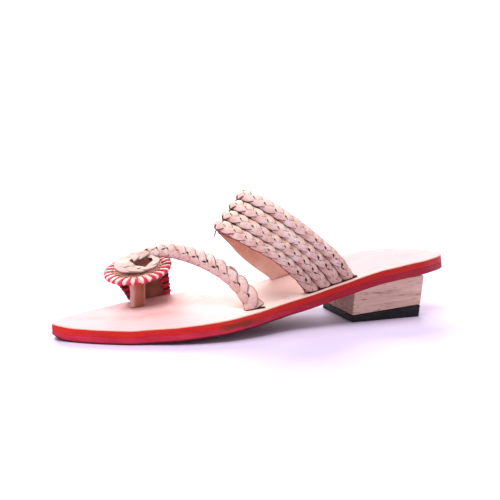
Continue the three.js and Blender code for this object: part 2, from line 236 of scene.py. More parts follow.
def column(x, y):
    """Smooth value of y at any x, with no overshoot between rows."""
    x, y = np.asarray(x, float), np.asarray(y, float)
    rise = np.diff(y) / np.diff(x)
    slope = np.zeros_like(y)
    slope[0], slope[-1] = rise[0], rise[-1]
    product = rise[:-1] * rise[1:]
    total = rise[:-1] + rise[1:]
    slope[1:-1] = np.where(product > 0, 2 * product / np.where(product > 0, total, 1), 0)

    def at(points):
        t = np.clip(np.asarray(points, float), x[0], x[-1])
        i = np.clip(np.searchsorted(x, t, side="left") - 1, 0, len(x) - 2)
        h = x[i + 1] - x[i]
        k = (t - x[i]) / h
        start = y[i] * (1 + 2 * k) * (1 - k) ** 2 + slope[i] * h * k * (1 - k) ** 2
        return start + y[i + 1] * k * k * (3 - 2 * k) - slope[i + 1] * h * k * k * (1 - k)

    return at


def spline(points, t):
    """Centripetal Catmull-Rom curve through the points, at shares t of its rows."""
    points = np.asarray(points, float)
    ends = (2 * points[0] - points[1], 2 * points[-1] - points[-2])
    padded = np.vstack([ends[0], points, ends[1]])
    last = len(points) - 1
    t = np.atleast_1d(t) * last
    i = np.clip(np.floor(t).astype(int), 0, last - 1)
    k = (t - i)[:, None]
    p0, p1, p2, p3 = (padded[i + n] for n in range(4))
    d0, d1, d2 = (np.sqrt(np.linalg.norm(b - a, axis=1, keepdims=True))
                  for a, b in ((p0, p1), (p1, p2), (p2, p3)))
    m1 = ((p1 - p0) / d0 - (p2 - p0) / (d0 + d1) + (p2 - p1) / d1) * d1
    m2 = ((p2 - p1) / d1 - (p3 - p1) / (d1 + d2) + (p3 - p2) / d2) * d1
    h00 = 2 * k**3 - 3 * k**2 + 1
    h10 = k**3 - 2 * k**2 + k
    h01 = -2 * k**3 + 3 * k**2
    return h00 * p1 + h10 * m1 + h01 * p2 + (k**3 - k**2) * m2


SOLE_AT = SOLE_SECTIONS[:, 0]
sole_middle = column(SOLE_AT, (SOLE_SECTIONS[:, 1] + SOLE_SECTIONS[:, 2]) / 2)
sole_half_power = column(
    SOLE_AT, ((SOLE_SECTIONS[:, 1] - SOLE_SECTIONS[:, 2]) / 2) ** OUTLINE_ROUNDNESS)
sole_under = column(SOLE_AT, SOLE_SECTIONS[:, 3])


def sole_half(at):
    return np.maximum(np.maximum(sole_half_power(at), 0) ** (1 / OUTLINE_ROUNDNESS), TIP_HALF_WIDTH)


def underside(x):
    return sole_under(np.asarray(x) + SOLE_LENGTH / 2)


def footbed(x):
    return underside(x) + 2 * SOLE_LAYER + GAP


def medallion_top(x, y):
    dx, dy = x - MEDALLION_AT[0], y - MEDALLION_AT[1]
    curl = MEDALLION_CURL * np.maximum(0, -dx - MEDALLION_HALF[0] / 2) ** 2
    return MEDALLION_AT[2] + MEDALLION_SLOPE[0] * dx + MEDALLION_SLOPE[1] * dy + curl


# ---- meshes


def linked(name, data):
    made = bpy.data.objects.new(name, data)
    bpy.context.scene.collection.objects.link(made)
    return made


def new_mesh(name, points, faces, materials, slots=None, smooth=True, values=None):
    """Object from points in the shoe's millimetres. values are named numbers, one a point."""
    mesh = bpy.data.meshes.new(name)
    placed = (np.asarray(points, float) + SHIFT) * MM
    mesh.from_pydata(placed.tolist(), [], [tuple(int(i) for i in face) for face in faces])
    for material in materials:
        mesh.materials.append(material)
    if slots is not None:
        mesh.polygons.foreach_set("material_index", np.asarray(slots, np.int32))
    mesh.polygons.foreach_set("use_smooth", np.full(len(mesh.polygons), smooth))
    for key, numbers in (values or {}).items():
        layer = mesh.attributes.new(key, "FLOAT", "POINT")
        layer.data.foreach_set("value", np.asarray(numbers, np.float32))
    mesh.update()
    return linked(name, mesh)


def body_faces(points, rings):
    """Quads between rings of points and a face over each end, all turned to look outwards."""
    points = np.asarray(points)
    count = len(points) // rings
    i, j = np.meshgrid(np.arange(rings - 1), np.arange(count), indexing="ij")
    k = (j + 1) % count
    quads = np.stack([i * count + j, i * count + k, (i + 1) * count + k, (i + 1) * count + j], -1)
    faces = [tuple(row) for row in quads.reshape(-1, 4)]
    faces += [tuple(np.arange(count)[::-1]), tuple((rings - 1) * count + np.arange(count))]
    volume = 0.0
    for face in faces:
        a = points[face[0]]
        for b, c in zip(face[1:-1], face[2:]):
            volume += a @ np.cross(points[b], points[c])
    return faces if volume > 0 else [tuple(reversed(face)) for face in faces]


def assembled(name, parts, materials, values=None):
    """One piece out of (points, faces, material number) parts."""
    points, faces, slots = [], [], []
    for part_points, part_faces, slot in parts:
        start = len(points)
        points.extend(np.asarray(part_points).tolist())
        faces.extend(tuple(i + start for i in face) for face in part_faces)
        slots.extend([slot] * len(part_faces))
    return new_mesh(name, points, faces, materials, slots, values=values)


def shell(rows):
    """Closed body from long rows of points laid round it: points clear of the sole, faces, count."""
    points = np.stack(rows, 1)
    rings, count = points.shape[:2]
    flat = points.reshape(-1, 3)
    flat[:, 2] = np.maximum(flat[:, 2], footbed(flat[:, 0]) + SKIN)
    return flat, body_faces(flat, rings), count


def flat_round(across, outward, width, thick, sides, roundness):
    """Points of a flattened round about the origin for each row of frames. Roundness 1 is an
    ellipse and 0 a rectangle."""
    angle = 2 * np.pi * (np.arange(sides) + 0.5) / sides
    c, s = np.cos(angle), np.sin(angle)
    a = np.sign(c) * np.abs(c) ** roundness
    b = np.sign(s) * np.abs(s) ** roundness
    width, thick = (np.broadcast_to(v, len(across))[:, None, None] for v in (width, thick))
    sideways = across[:, None] * a[None, :, None] * width / 2
    return sideways + outward[:, None] * b[None, :, None] * thick / 2


# ---- materials


def linear(code):
    """Linear colour from a hex code."""
    values = [int(code[i:i + 2], 16) / 255 for i in (1, 3, 5)]
    return tuple(v / 12.92 if v <= 0.04045 else ((v + 0.055) / 1.055) ** 2.4 for v in values) + (1.0,)


class Finish:
    """A procedural material under construction: short calls that add and link nodes."""

    def __init__(self, name, roughness, specular):
        self.material = bpy.data.materials.new(name)
        self.material.use_nodes = True
        self.tree = self.material.node_tree
        self.shader = next(n for n in self.tree.nodes if n.type == "BSDF_PRINCIPLED")
        self.shader.inputs["Roughness"].default_value = roughness
        self.shader.inputs["Specular IOR Level"].default_value = specular
        self.place = self.node("ShaderNodeTexCoord").outputs["Object"]

    def node(self, kind, **inputs):
        made = self.tree.nodes.new(kind)
        for key, value in inputs.items():
            self.feed(made.inputs[key.replace("_", " ")], value)
        return made

    def feed(self, socket, value):
        """Links an output to the socket, or sets a number, a vector or a colour's hex code."""
        if isinstance(value, bpy.types.NodeSocket):
            self.tree.links.new(value, socket)
        else:
            socket.default_value = linear(value) if isinstance(value, str) else value

    def stretched(self, scale):
        return self.node("ShaderNodeMapping", Vector=self.place, Scale=scale).outputs[0]

    def strip_place(self, long, wide):
        """Coordinates laid along each strip, from its own values, in scaled metres."""
        run = self.maths("MULTIPLY", self.value("run"), long)
        side = self.maths("MULTIPLY", self.value("side"), wide)
        return self.node("ShaderNodeCombineXYZ", X=run, Y=side).outputs[0]

    def axis(self, letter):
        """Place along one axis of the model, in metres."""
        return self.node("ShaderNodeSeparateXYZ", Vector=self.place).outputs[letter]

    def noise(self, scale, detail, roughness, vector=None, distortion=0.0):
        made = self.node("ShaderNodeTexNoise", Scale=scale, Detail=detail, Roughness=roughness,
                         Distortion=distortion, Vector=self.place if vector is None else vector)
        return made.outputs["Fac"]

    def cells(self, scale):
        return self.node("ShaderNodeTexVoronoi", Scale=scale, Vector=self.place).outputs["Distance"]

    def ramp(self, value, stops):
        made = self.node("ShaderNodeValToRGB", Fac=value)
        band = made.color_ramp
        while len(band.elements) < len(stops):
            band.elements.new(0.5)
        for element, (at, tone) in zip(band.elements, stops):
            element.position = at
            element.color = linear(tone) if isinstance(tone, str) else (tone, tone, tone, 1)
        return made.outputs["Color"]

    def blend(self, share, first, second, mode="MIX"):
        made = self.tree.nodes.new("ShaderNodeMix")
        made.data_type = "RGBA"
        made.blend_type = mode
        for socket, value in zip((made.inputs[0], made.inputs[6], made.inputs[7]), (share, first, second)):
            self.feed(socket, value)
        return made.outputs[2]

    def washed(self, colour, *layers):
        """The colour under washes of (mask, stops, tint). A stop's number is the tint's share."""
        for mask, stops, tint in layers:
            colour = self.blend(self.ramp(mask, stops), colour, tint)
        return colour

    def maths(self, operation, *values):
        made = self.tree.nodes.new("ShaderNodeMath")
        made.operation = operation
        for socket, value in zip(made.inputs, values):
            self.feed(socket, value)
        return made.outputs[0]

    def ragged(self, value, amount, *noise):
        """A value with noise of that size added."""
        return self.maths("ADD", value, self.maths("MULTIPLY", self.noise(*noise), amount))

    def value(self, name):
        made = self.tree.nodes.new("ShaderNodeAttribute")
        made.attribute_name = name
        return made.outputs["Fac"]

    def bump(self, *heights):
        """Each height is (socket, strength, distance in metres)."""
        normal = None
        for socket, strength, distance in heights:
            made = self.node("ShaderNodeBump", Strength=strength, Distance=distance, Height=socket)
            if normal is not None:
                self.feed(made.inputs["Normal"], normal)
            normal = made.outputs[0]
        self.feed(self.shader.inputs["Normal"], normal)

    def napped(self, colour):
        """The colour under a suede's short nap."""
        self.bump((self.noise(1300, 4, 0.7), 0.45, 0.0004))
        nap = self.ramp(self.noise(1400, 3, 0.7), [(0.3, 0.55), (0.7, 1.0)])
        return self.blend(0.35, colour, nap, "MULTIPLY")

    def grained(self, dark, mid, light):
        """Cloudy colour of smooth leather with a fine grain."""
        self.bump((self.noise(700, 4, 0.6), 0.3, 0.0004), (self.cells(1700), 0.2, 0.0002))
        return self.ramp(self.noise(110, 4, 0.65), [(0.3, dark), (0.5, mid), (0.72, light)])

    def finish(self, colour, roughness=None):
        self.feed(self.shader.inputs["Base Color"], colour)
        if roughness is not None:
            self.feed(self.shader.inputs["Roughness"], roughness)
        return self.material


def plait_leather(name, light, mid, dark, low_shade_tint, valley_shade):
    """Undyed strap leather: fibres along each strip, browner cut edges, painted shade where it dives
    and, by the valley share, painted shade along the plait's edges. The low tint is painted shade
    towards the sole, and a painted highlight makes the crown paler."""
    m = Finish(name, 0.72, 0.08)
    along = m.strip_place(0.3, 1.0)
    height = m.axis("Z")
    fibres = m.noise(2300, 4, 0.65, vector=along)
    patches = m.ramp(m.noise(170, 2, 0.6), [(0.3, dark), (0.48, mid), (0.68, light)])
    fibred = m.blend(0.26, patches, m.ramp(fibres, [(0.36, "#a57464"), (0.6, "#fff0e4")]))
    uneven = m.ramp(m.noise(60, 2, 0.5), [(0.4, 0.35), (0.5, 1.0)])
    # Cracks, stains, painted shade at the strap's foot, a painted highlight on its crown, cut edges,
    # painted shade in valleys, creases and slits.
    colour = m.washed(
        fibred,
        (m.noise(1300, 3, 0.6, vector=along), [(0.57, 0.0), (0.66, 0.7)], "#94655a"),
        (m.noise(75, 3, 0.6), [(0.52, 0.0), (0.72, 0.5)], "#d08f76"),
        # Painted shade: darker and mauve towards the sole.
        (m.maths("MULTIPLY", height, 15.0), [(0.2, 0.85), (0.8, 0.0)], low_shade_tint),
        # Painted highlight: paler towards the crown.
        (m.maths("MULTIPLY", height, 10.0), [(0.5, 0.0), (0.78, 0.6)], "#ffe4d4"),
        # Browner cut edges, partly painted shade: they deepen with the valley share.
        (m.value("rim"), [(0.82, 0.0), (0.94, 0.3 + 0.88 * valley_shade)], "#70382d"),
        # Painted shade along the plait's edges, in the valleys between plaits.
        (m.value("edge"), [(0.84, 0.0), (1.0, valley_shade)], "#5c3029"),
        # Painted shade where a strip lies under its neighbours.
        (m.value("depth"), [(0.25, 0.97), (0.52, 0.0)], "#4a211b"),
        # Painted shade in the slits and along the coil's inner edges.
        (m.maths("MULTIPLY", m.value("slit"), uneven), [(0.22, 0.0), (0.5, 0.95)], "#33130f"))
    m.bump((fibres, 0.25, 0.0003), (m.noise(650, 4, 0.65), 0.3, 0.0004),
           (m.cells(1900), 0.12, 0.0002))
    return m.finish(colour, m.ramp(fibres, [(0.3, 0.6), (0.7, 0.8)]))


def footbed_leather():
    """Pale pink sole leather with faint rubbed stains and specks, and painted light at the waist."""
    m = Finish("footbed_leather", 0.78, 0.03)
    from_waist = m.maths("ABSOLUTE", m.maths("MULTIPLY", m.axis("X"), 10.0))
    colour = m.washed(
        m.ramp(m.noise(22, 4, 0.6), [(0.3, "#deacae"), (0.55, "#e3b3b4"), (0.75, "#e8bbb8")]),
        # Painted light: paler at the waist, where the instep band's shadow falls.
        (from_waist, [(0.1, 0.8), (0.55, 0.0)], "#f3dfd5"),
        (m.noise(34, 5, 0.7, distortion=0.6), [(0.53, 0.0), (0.78, 0.55)], "#d9937f"),
        (m.noise(420, 3, 0.7), [(0.64, 0.0), (0.78, 0.3)], "#bd8b7e"))
    m.bump((m.noise(320, 4, 0.6), 0.12, 0.0003), (m.cells(1500), 0.12, 0.00015))
    return m.finish(colour, m.ramp(m.noise(60, 3, 0.6), [(0.3, 0.65), (0.7, 0.8)]))


def painted_edge(name, bright, deep, dull, bare_from, seam_at, underside_shade_top):
    """Brushed dye on a cut edge, bright at the toe, dull to the heel, ending at level `bare_from`.
    It is rubbed brown beside the ball of the foot, most at level `seam_at`. Painted shade darkens it
    from the underside up to the level in the last argument, towards the toe."""
    m = Finish(name, 0.5, 0.18)
    along, level = m.axis("X"), m.value("level")
    forward = m.maths("MULTIPLY_ADD", along, 6.0, 0.5)
    streaks = m.noise(190, 4, 0.6, vector=m.stretched((0.3, 0.3, 3.0)))
    from_seam = m.maths("ABSOLUTE", m.maths("SUBTRACT", level, seam_at))
    from_ball = m.maths("ABSOLUTE", m.maths("MULTIPLY_ADD", along, 32.0, -0.75))
    rubbed = m.ragged(m.maths("MAXIMUM", from_seam, from_ball), 0.9, 95, 4, 0.7)
    wear_and_shade_level = m.ragged(level, 0.07, 330, 3, 0.6)
    # Painted shade along the underside, standing in for the shadow under the sole's edge.
    underside_shade = m.ramp(m.maths("SUBTRACT", wear_and_shade_level, underside_shade_top), [(0.0, 0.9), (0.16, 0.0)])
    ahead = m.ramp(forward, [(0.3, 0.0), (0.5, 1.0)])
    colour = m.washed(
        m.ramp(streaks, [(0.3, deep), (0.62, bright)]),
        (m.noise(40, 3, 0.6), [(0.4, 0.5), (0.62, 0.0)], deep),
        (forward, [(0.3, 0.9), (0.68, 0.0)], dull),
        (rubbed, [(0.7, 0.8), (1.0, 0.0)], "#7c3a20"),
        (wear_and_shade_level, [(bare_from, 0.0), (min(bare_from + 0.04, 1.0), 1.0)], "#eec3a6"))
    # Dark maroon painted shade on the lower edge, only towards the toe.
    colour = m.blend(m.maths("MULTIPLY", underside_shade, ahead), colour, "#3a0e18")
    m.bump((streaks, 0.3, 0.0004), (m.noise(1200, 2, 0.5), 0.1, 0.0002))
    return m.finish(colour, m.ramp(m.noise(200, 2, 0.5), [(0.3, 0.42), (0.7, 0.6)]))


def suede(name, light, dark):
    m = Finish(name, 0.9, 0.15)
    return m.finish(m.napped(m.ramp(m.noise(70, 4, 0.65), [(0.3, dark), (0.7, light)])))


def lining_flesh():
    """Rough inner face of the band: orange-brown above, paler and greyer towards the sole."""
    m = Finish("lining_flesh", 0.9, 0.15)
    cloud = m.ramp(m.noise(70, 4, 0.65), [(0.3, "#ba7a60"), (0.7, "#dba184")])
    pale = m.ramp(m.noise(90, 4, 0.65), [(0.3, "#dcb2a1"), (0.7, "#f2d5c5")])
    height = m.maths("MULTIPLY", m.axis("Z"), 15.0)
    return m.finish(m.napped(m.washed(cloud, (height, [(0.42, 1.0), (0.8, 0.0)], pale))))


def heel_wood():
    """Pinkish wood: grain along the shoe, pores and flecks as dark dashes, and painted shade on the breast.
    """
    m = Finish("heel_wood", 0.62, 0.3)
    rings = m.noise(330, 5, 0.6, vector=m.stretched((0.09, 1.0, 1.0)), distortion=0.4)
    pores = m.noise(1100, 2, 0.6, vector=m.stretched((0.12, 1.0, 1.6)))
    pores = m.ramp(pores, [(0.62, 0.0), (0.7, 0.8)])
    flecks = m.noise(260, 2, 0.5, vector=m.stretched((0.25, 1.0, 1.4)))
    colour = m.ramp(rings, [(0.25, "#bd9881"), (0.5, "#dfbaa4"), (0.72, "#f0d2bf")])
    colour = m.washed(
        m.blend(pores, colour, "#6f4c3f"),
        (flecks, [(0.7, 0.0), (0.74, 0.9)], "#4f3027"),
        # Painted shade, reddish, on the breast under the sole's overhang.
        (m.value("share"), [(0.0, 0.45), (0.02, 0.0)], "#8a5048"))
    m.bump((rings, 0.2, 0.0004), (pores, 0.25, 0.0002))
    return m.finish(colour, m.ramp(rings, [(0.3, 0.68), (0.7, 0.52)]))


def rubber():
    m = Finish("heel_rubber", 0.6, 0.4)
    dust = m.ramp(m.noise(120, 4, 0.7), [(0.45, "#0c0a0d"), (0.8, "#1c191d")])
    m.bump((m.noise(900, 3, 0.6), 0.4, 0.0003))
    return m.finish(dust, m.ramp(m.noise(200, 3, 0.6), [(0.3, 0.5), (0.7, 0.78)]))


def thong(name, light, dark):
    m = Finish(name, 0.55, 0.2)
    m.bump((m.noise(1500, 3, 0.6), 0.25, 0.0003))
    return m.finish(m.ramp(m.noise(420, 3, 0.6), [(0.32, dark), (0.62, light)]))


def strap_tan(name, light, mid, dark):
    m = Finish(name, 0.7, 0.3)
    return m.finish(m.grained(dark, mid, light))


def medallion_leather():
    """Cream leather, with brown painted shade in the middle under the coil."""
    m = Finish("medallion_leather", 0.8, 0.02)
    outwards = m.ragged(m.value("ring"), 0.16, 240, 3, 0.6)
    cream = m.grained("#e8ab8f", "#f3c4ab", "#fad8c4")
    # Painted shade: brown under the coil and in the hollow inside it.
    return m.finish(m.washed(cream, (outwards, [(0.5, 0.95), (0.66, 0.0)], "#6a2a1e")))


def loop_post():
    """Strap leather of the loop: a painted highlight pales the edge towards the toe, painted shade browns
    the other.
    """
    m = Finish("loop_post", 0.7, 0.3)
    breadth = m.ragged(m.value("breadth"), 0.12, 200, 3, 0.6)
    # Painted highlight along the toe-side edge and painted shade near the other, as on a rounded strap.
    highlight_and_shade = m.ramp(breadth, [(0.05, "#c08d7d"), (0.22, "#91533f"), (0.72, "#b8735a"), (0.9, "#f0d4ca")])
    return m.finish(m.blend(0.65, m.grained("#a9664a", "#c8866a", "#dca086"), highlight_and_shade))


PLAIT = plait_leather("plait_leather", "#ffecdf", "#f7d3c1", "#da9f88", "#bb8a82", 0.7)
PLAIT_COIL = plait_leather("plait_leather_coil", "#fff0e8", "#fbe1d6", "#e6bba9", "#dbab9f", 0.3)
FOOTBED = footbed_leather()
# The last number is the top of the underside's painted shade; below zero there is none.
EDGE_UPPER = painted_edge("edge_red", "#f23322", "#d4221f", "#bd201b", 0.88, 0.0, -1.0)
EDGE_LOWER = painted_edge("edge_crimson", "#e93d54", "#c5243e", "#9c1d2d", 1.2, 1.0, 0.2)
SOLE_BOTTOM = suede("outsole_grain", "#c9a48b", "#a57d64")
LINING = lining_flesh()
LINING_EDGE = suede("lining_edge", "#54342a", "#2b1712")
WOOD = heel_wood()
RUBBER = rubber()
RED = thong("thong_red", "#e83358", "#c41f40")
RED_DEEP = thong("thong_red_deep", "#cf2444", "#92162e")
RED_SHADE = thong("thong_shade", "#571820", "#360c12")
CREAM = thong("thong_cream", "#fae0d2", "#f0c8b8")
DISC = medallion_leather()
LOOP_TAN = loop_post()
LOOP_EDGE = strap_tan("loop_edge", "#e6cdc6", "#dcbab0", "#c9a096")
LOOP_DARK = strap_tan("loop_inside", "#a26b5c", "#885140", "#683a2d")
# Near-black: painted shade of holes and slits.
HOLE_SHADE = strap_tan("stitch_hole_shade", "#2a1210", "#1d0b0a", "#120606")
FRAY = suede("frayed_end", "#c39a8e", "#93695f")

# ---- soles and heel


def bevelled(piece, width):
    """The piece with its sharp edges rounded and its mesh final."""
    modifier = piece.modifiers.new("bevel", "BEVEL")
    modifier.width = width * MM
    modifier.segments = 3
    modifier.limit_method = "ANGLE"
    modifier.angle_limit = math.radians(50)
    graph = bpy.context.evaluated_depsgraph_get()
    final = bpy.data.meshes.new_from_object(piece.evaluated_get(graph))
    piece.modifiers.remove(modifier)
    piece.data = final
    return piece


def sole_layer(name, low, high, top_material, edge_material, bottom_material, skive):
    """One sole leather with rounded corners. `skive` lifts its underside at the toe's tip."""
    stations, columns = 170, 14
    at = SOLE_LENGTH / 2 * (1 - np.cos(np.pi * np.arange(stations + 1) / stations))
    x = at - SOLE_LENGTH / 2
    middle, half, floor = sole_middle(at), sole_half(at), sole_under(at)
    depth = high - low
    # Section from the underside round by the outer edge: share of the half width, inset, height.
    flat = np.sin(np.linspace(-1, 1, columns + 1) * np.pi / 2)[1:-1]
    turn = np.linspace(0, np.pi / 2, 4)
    below, above = (OUTER_CORNER if outer else SEAM_CORNER for outer in (low == 0, high > SOLE_LAYER))
    side = [(below * (1 - math.sin(a)), low + below * (1 - math.cos(a))) for a in turn]
    side += [(0.0, low + depth * k) for k in (0.25, 0.4, 0.55, 0.7, 0.8)]
    side += [(above * (1 - math.cos(a)), high - above * (1 - math.sin(a))) for a in turn]
    rows = [(share, OUTER_CORNER, low) for share in flat]
    rows += [(1, inset, height) for inset, height in side]
    rows += [(share, OUTER_CORNER, high) for share in flat[::-1]]
    rows += [(-1, inset, height) for inset, height in side[::-1]]
    top_first = len(flat) + len(side) - 1
    top_last = top_first + len(flat) + 1
    wave = sum(size * np.sin(at / length + start) for size, length, start in EDGE_WAVES)
    tips = np.minimum(1, np.minimum(at, SOLE_LENGTH - at) / 6)
    toe = ramped(1 - (SOLE_LENGTH - at) / 7) ** 2
    heel = np.exp(-at / 5)
    points, level = [], []
    for share, inset, height in rows:
        up = (height - low) / depth
        y = middle + share * np.maximum(half - inset * tips, 0.3)
        y = y + (abs(share) == 1) * share * wave * tips
        z = floor + height + skive * toe * (1 - up)
        back = HEEL_END_LEAN * heel * (1 - height / (2 * SOLE_LAYER))
        points.append(np.stack([x - back, y, z], -1))
        level.append(np.full(stations + 1, up))
    count = len(rows)
    body = np.stack(points, 1).reshape(-1, 3)
    faces = body_faces(body, stations + 1)
    slots = []
    for face in faces:
        ring = sorted({i % count for i in face})
        on_top = top_first <= ring[0] and ring[-1] <= top_last
        below = ring[-1] <= len(flat) or ring == [0, count - 1]
        slots.append(1 if len(face) > 4 else 0 if on_top else 2 if below else 1)
    materials = [top_material, edge_material, bottom_material]
    values = {"level": np.stack(level, 1).reshape(-1)}
    return new_mesh(name, body, faces, materials, slots, values=values)


def heel_corner(share, side, height):
    """Point of the heel's side: share from breast to back, side -1 or 1, height above floor."""
    up = height / float(underside(HEEL_REAR))
    x = mix(HEEL_FRONT, HEEL_REAR, share) - mix(HEEL_RAKE, HEEL_FLARE_REAR, share) * up
    edge = HEEL_OUTER if side > 0 else HEEL_INNER
    return np.array([x, edge + side * HEEL_FLARE_SIDE * up, height])


def lift_top(x):
    return mix(LIFT_FRONT, LIFT_REAR, (x - HEEL_FRONT) / (HEEL_REAR - HEEL_FRONT))


def heel_piece(name, low, high, material, steps, round_off):
    """Block between two surfaces, with its edges rounded."""
    shares = np.linspace(0, 1, steps + 1)
    points = []
    for share in shares:
        x = mix(HEEL_FRONT, HEEL_REAR, share)
        for side, surface in ((-1, low), (1, low), (1, high), (-1, high)):
            points.append(heel_corner(share, side, float(surface(x))))
    block = new_mesh(name, points, body_faces(points, steps + 1), [material], smooth=False,
                     values={"share": np.repeat(shares, 4)})
    return bevelled(block, round_off)


# ---- plaits


def arc_steps(points, step):
    """Shares of a densely sampled line's length at equal steps, as indices with fractions."""
    length = np.concatenate([[0], np.cumsum(np.linalg.norm(np.diff(points, axis=0), axis=1))])
    count = max(int(length[-1] / step), 2)
    even = np.linspace(0, length[-1], count + 1)
    return np.interp(even, length, np.arange(len(length))), even


def take(values, index):
    """Rows of an array at fractional indices."""
    low = np.clip(np.floor(index).astype(int), 0, len(values) - 2)
    k = index - low
    k = k.reshape((-1,) + (1,) * (np.ndim(values) - 1))
    return values[low] * (1 - k) + values[low + 1] * k


def swing(turn):
    """Sideways place of a strip: straight crossings, rounded turns at the edges."""
    return (np.sin(turn) + 0.08 * np.sin(3 * turn)) / 0.92


def dive(turn):
    """Height of a strip: under one neighbour on the way in, over the other on the way out."""
    level = -np.sin(2 * turn)
    return level * (1.5 - 0.5 * level * level)


def strand(line, phase, form, relief, seed, sides=16):
    """One flat strip of a three-strand plait along `line`: points and their named values.
    `relief` is 1 where the plait is full, and less where it lies flatter."""
    rng = np.random.default_rng(seed)
    distance, width, plait_up = line["distance"], line["width"], line["outward"]
    stray = sum(rng.normal(0, STRAY) * np.sin(distance / w + rng.uniform(0, 6.3)) for w in STRAY_LENGTHS)
    turns = np.concatenate([[0], np.cumsum(np.diff(distance) / line["pitch"][1:])])
    turn = stray + phase - 2 * np.pi * turns
    strip_width = form["strip"] * width * (1 + SWAY * np.sin(distance / SWAY_LENGTH + 3 * phase))
    strip_thick = form["thick"] * mix(1.25, 1.0, relief)
    u = swing(turn)
    u = (width - strip_width) / 2 * (u + line["lean"] * (1 - u * u))
    h = form["lift"] * relief * dive(turn) + form["proud"]
    centre = line["centre"] + line["across"] * u[:, None] + plait_up * h[:, None]
    along = unit(np.gradient(centre, axis=0))
    across = unit(np.cross(plait_up, along))
    outward = unit(np.cross(along, across))
    points = centre[:, None] + flat_round(across, outward, strip_width, strip_thick, sides, STRIP_ROUNDNESS)
    offset = points - line["centre"][:, None]
    rise = np.einsum("ijk,ik->ij", offset, plait_up)
    sideways = np.einsum("ijk,ik->ij", offset, line["across"]) * 2 / width[:, None]
    dome = form["dome"] * relief**2
    points -= plait_up[:, None] * (dome[:, None] * sideways**2)[:, :, None]
    angle = 2 * np.pi * (np.arange(sides) + 0.5) / sides
    side = np.sign(np.cos(angle)) * np.abs(np.cos(angle)) ** STRIP_ROUNDNESS
    back = form["bare_back"] * ramped((-np.sin(angle) - 0.45) / 0.3)
    depth = ramped((rise - form["proud"]) / (2 * form["lift"] + form["thick"]) + 0.5)
    inner = -np.sign(u)[:, None] * (sideways * width[:, None] / 2 - u[:, None]) / (strip_width[:, None] / 2)
    slack = line["slack"][:, None]
    opening = np.exp(-(np.sin(turn - SLIT_TURN)[:, None] / (form["slit"] * (1 + 0.7 * slack))) ** 2)
    opening *= (ramped(1.3 * relief - 0.3) * ramped(distance / 9))[:, None]
    slit = opening * ramped((inner - form["slit_from"] + 0.25 * slack) / 0.35)
    inside = ramped((sideways - 0.6) / 0.25)
    # depth, edge and slit drive painted shade in the plait leather: under strips, valleys, slits.
    values = {
        "depth": mix(depth, 0.6, back),
        "run": distance[:, None] * MM + 0.37 * seed,
        "side": side * strip_width[:, None] * MM / 2 + 0.11 * seed,
        "rim": np.abs(side),
        "edge": np.abs(sideways),
        "slit": np.maximum(slit, inside * line["shaded"][:, None]),
    }
    return points, {key: np.broadcast_to(value, rise.shape).reshape(-1) for key, value in values.items()}


def plait(name, line, form, phase, seed, material, relief, lift):
    """Three strips plaited along a line of frames, as one piece `lift` over the sole or more."""
    parts, gathered = [], {}
    for k in range(3):
        points, values = strand(line, phase + 2 * np.pi * k / 3, form, relief, 10 * seed + k)
        flat = points.reshape(-1, 3)
        flat[:, 2] = np.maximum(flat[:, 2], footbed(flat[:, 0]) + lift)
        parts.append((flat, body_faces(flat, len(points)), 0))
        for key, numbers in values.items():
            gathered.setdefault(key, []).append(numbers)
    values = {key: np.concatenate(numbers) for key, numbers in gathered.items()}
    return assembled(name, parts, [material], values)


BAND_SAMPLES = 600


def band_edges():
    """The instep band's front and rear edge, densely sampled."""
    rows = BAND_ROWS.copy()
    for end in (0, -1):
        for edge in (0, 1):
            rows[end, edge, 2] = footbed(rows[end, edge, 0]) + GAP
    t = np.linspace(0, 1, BAND_SAMPLES + 1)
    return spline(rows[:, 0], t), spline(rows[:, 1], t)


BAND_FRONT, BAND_BACK = band_edges()


def band_frames(share):
    """Frames round the arch at one share of the band's width (0 front, 1 rear)."""
    centre = mix(BAND_FRONT, BAND_BACK, share)
    t = np.linspace(0, 1, BAND_SAMPLES + 1)
    for end in (0, -1):
        fall = np.maximum(0, 1 - 10 * np.abs(t - t[end]))
        centre[:, 2] += fall * (footbed(centre[end, 0]) + GAP - centre[end, 2])
    across = BAND_BACK - BAND_FRONT
    width = np.linalg.norm(across, axis=1)
    across = unit(across)
    outward = unit(np.cross(across, np.gradient(centre, axis=0)))
    return centre, across, outward, width


PLAIT_STEP = 0.45


def even_line(centre, across, outward, width):
    """Frames at equal steps along a densely sampled line, tight, upright and unshaded."""
    index, distance = arc_steps(centre, PLAIT_STEP)
    dense = {"centre": centre, "across": across, "outward": outward, "width": width}
    line = {key: take(values, index) for key, values in dense.items()}
    line["distance"] = distance
    line["share"] = index / (len(centre) - 1)
    for key in ("lean", "slack", "shaded"):
        line[key] = np.zeros(len(distance))
    return line


def instep_braid(index):
    centre, across, outward, width = band_frames((index + 0.5) / BRAID_COUNT)
    line = even_line(centre, across, outward, width / BRAID_COUNT + BRAID_OVERLAP)
    distance = line["distance"]
    line["pitch"] = np.full(len(distance), INSTEP_PITCH)
    line["slack"] = ramped(1.2 - np.minimum(distance, distance[-1] - distance) / SLACK_REACH)
    return plait(f"instep_plait_{index + 1}", line, INSTEP_FORM, BRAID_STARTS[index], index + 1, PLAIT,
                 np.ones(len(distance)), FOOT_HEIGHT)


